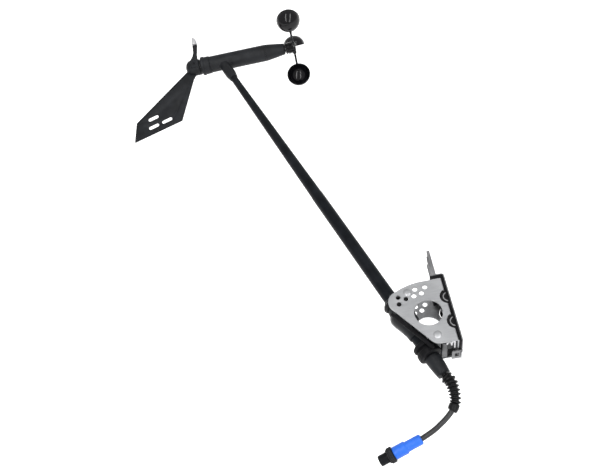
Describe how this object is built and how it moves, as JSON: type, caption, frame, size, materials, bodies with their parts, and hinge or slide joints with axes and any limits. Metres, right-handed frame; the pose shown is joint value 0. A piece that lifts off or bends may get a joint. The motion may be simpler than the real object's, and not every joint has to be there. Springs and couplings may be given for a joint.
{
  "type": "masthead cup anemometer with wind vane",
  "caption": "Masthead wind sensor: cup rotor and balanced vane on a slanted tapered arm, with a U bracket, quick-release base and a short plug lead.",
  "frame": {"origin": "centre of the outer face of the base, which lies on the mast's fitting", "axes": "+X out of the base into the mast (downwards in use), +Y from the base along the arm to the head, +Z across the bracket, up as the unit lies on its side"},
  "size_m": [0.3947, 0.7136, 0.1041],
  "materials": {
    "stainless": "satin",
    "fastener_steel": "satin",
    "dark_screw_steel": "satin",
    "black_plastic": "satin",
    "gloss_black_plastic": "gloss",
    "carbon_arm": "satin",
    "black_rubber": "matte",
    "cable_sheath": "satin",
    "blue_plastic": "satin",
    "counterweight_metal": "satin",
    "magnet": "satin",
    "circuit_board": "satin",
    "chip": "satin"
  },
  "bodies": {
    "mast_unit": {"mast_bracket": "stainless", "mast_plate": "stainless", "base_gasket": "black_rubber", "base_liner": "black_plastic", "base_rivet_1": "fastener_steel", "base_rivet_2": "fastener_steel", "base_rivet_3": "fastener_steel", "base_rivet_4": "fastener_steel", "retaining_pin": "fastener_steel", "latch_housing": "black_plastic", "latch_pin": "fastener_steel", "latch_spring": "fastener_steel", "catch_block": "black_plastic", "arm_holder": "black_plastic", "holder_ring": "black_rubber", "holder_screw_1": "dark_screw_steel", "holder_screw_2": "dark_screw_steel", "holder_screw_3": "dark_screw_steel", "holder_screw_4": "dark_screw_steel", "arm_tube": "carbon_arm", "arm_cable": "cable_sheath", "tail_gland": "black_plastic", "strain_relief": "black_rubber", "cable": "cable_sheath", "plug_body": "blue_plastic", "plug_insert": "black_rubber", "head_housing": "black_plastic", "vane_end_cap": "black_plastic", "nose_cone": "black_plastic", "vane_seal": "black_rubber", "nose_seal": "black_rubber", "vane_bearing_outer": "fastener_steel", "vane_bearing_inner": "fastener_steel", "cup_bearing_outer": "fastener_steel", "cup_bearing_inner": "fastener_steel", "circuit_board": "circuit_board", "vane_sensor": "chip", "cup_sensor": "chip"},
    "vane": {"vane_shaft": "fastener_steel", "vane_magnet": "magnet", "vane_hub": "black_plastic", "vane_grub_screw": "fastener_steel", "vane_fin": "black_plastic", "counterweight_arm": "black_plastic", "counterweight_tip": "counterweight_metal"},
    "cup_rotor": {"cup_shaft": "fastener_steel", "cup_magnet": "magnet", "cup_hub": "gloss_black_plastic", "cup_grub_screw": "fastener_steel", "cup_arm_1": "gloss_black_plastic", "cup_arm_2": "gloss_black_plastic", "cup_arm_3": "gloss_black_plastic", "cup_1": "gloss_black_plastic", "cup_2": "gloss_black_plastic", "cup_3": "gloss_black_plastic"},
    "collar": {"locking_collar": "black_plastic"},
    "plug_coupling": {"plug_nut": "black_plastic", "plug_o_ring": "black_rubber"},
    "latch": {"latch_lever": "stainless"}
  },
  "joints": [
    {"name": "vane_spin", "type": "hinge", "parent": "mast_unit", "child": "vane", "pos_m": [-0.28, 0.518, 0], "axis": [1, 0, 0], "continuous": true},
    {"name": "cup_spin", "type": "hinge", "parent": "mast_unit", "child": "cup_rotor", "pos_m": [-0.1221, 0.518, 0], "axis": [1, 0, 0], "continuous": true},
    {"name": "collar_turn", "type": "hinge", "parent": "mast_unit", "child": "collar", "pos_m": [-0.0503, 0, 0], "axis": [-0.342, 0.9397, 0], "range_deg": [0, 90]},
    {"name": "plug_nut_spin", "type": "hinge", "parent": "mast_unit", "child": "plug_coupling", "pos_m": [-0.0626, -0.1215, -0.0218], "axis": [-0.9418, -0.2476, -0.2273], "continuous": true},
    {"name": "latch_release", "type": "hinge", "parent": "mast_unit", "child": "latch", "pos_m": [-0.01, 0.033, 0], "axis": [0, 0, 1], "range_deg": [-5, 0], "stiffness_Nm_per_rad": 1}
  ]
}
